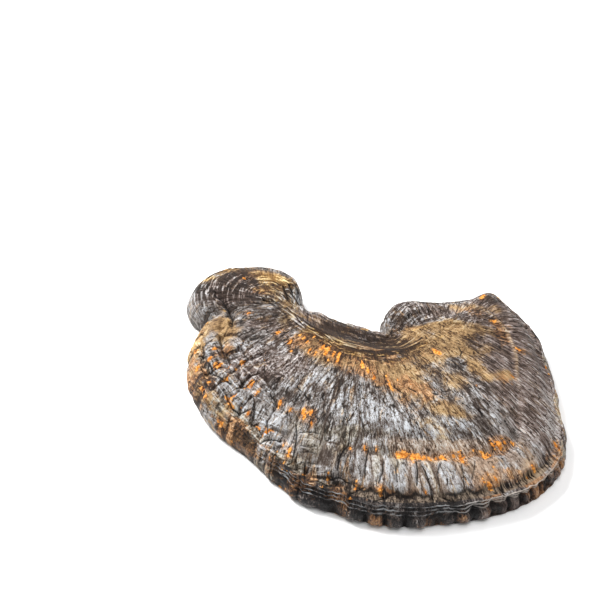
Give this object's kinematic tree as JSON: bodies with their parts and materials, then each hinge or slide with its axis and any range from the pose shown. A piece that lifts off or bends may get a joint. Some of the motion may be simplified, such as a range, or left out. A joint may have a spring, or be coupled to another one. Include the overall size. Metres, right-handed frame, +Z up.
{
  "type": "reishi mushroom",
  "caption": "Dried woody reishi bracket: a kidney-shaped ridged cap whose two ears curl round a flat cut, lying on its pore surface.",
  "frame": {"origin": "middle of the bounding box, on the surface that the cap lies on", "axes": "+X along the longest extent, ear to ear; +Y towards the place where it was cut off; +Z up, away from the pore surface"},
  "size_m": [0.1926, 0.1377, 0.0359],
  "materials": {
    "crust": "dried grey-brown crust, dull with lacquered glints and ochre spore dust"
  },
  "bodies": {
    "root": {"reishi_cap": "crust"}
  },
  "joints": []
}
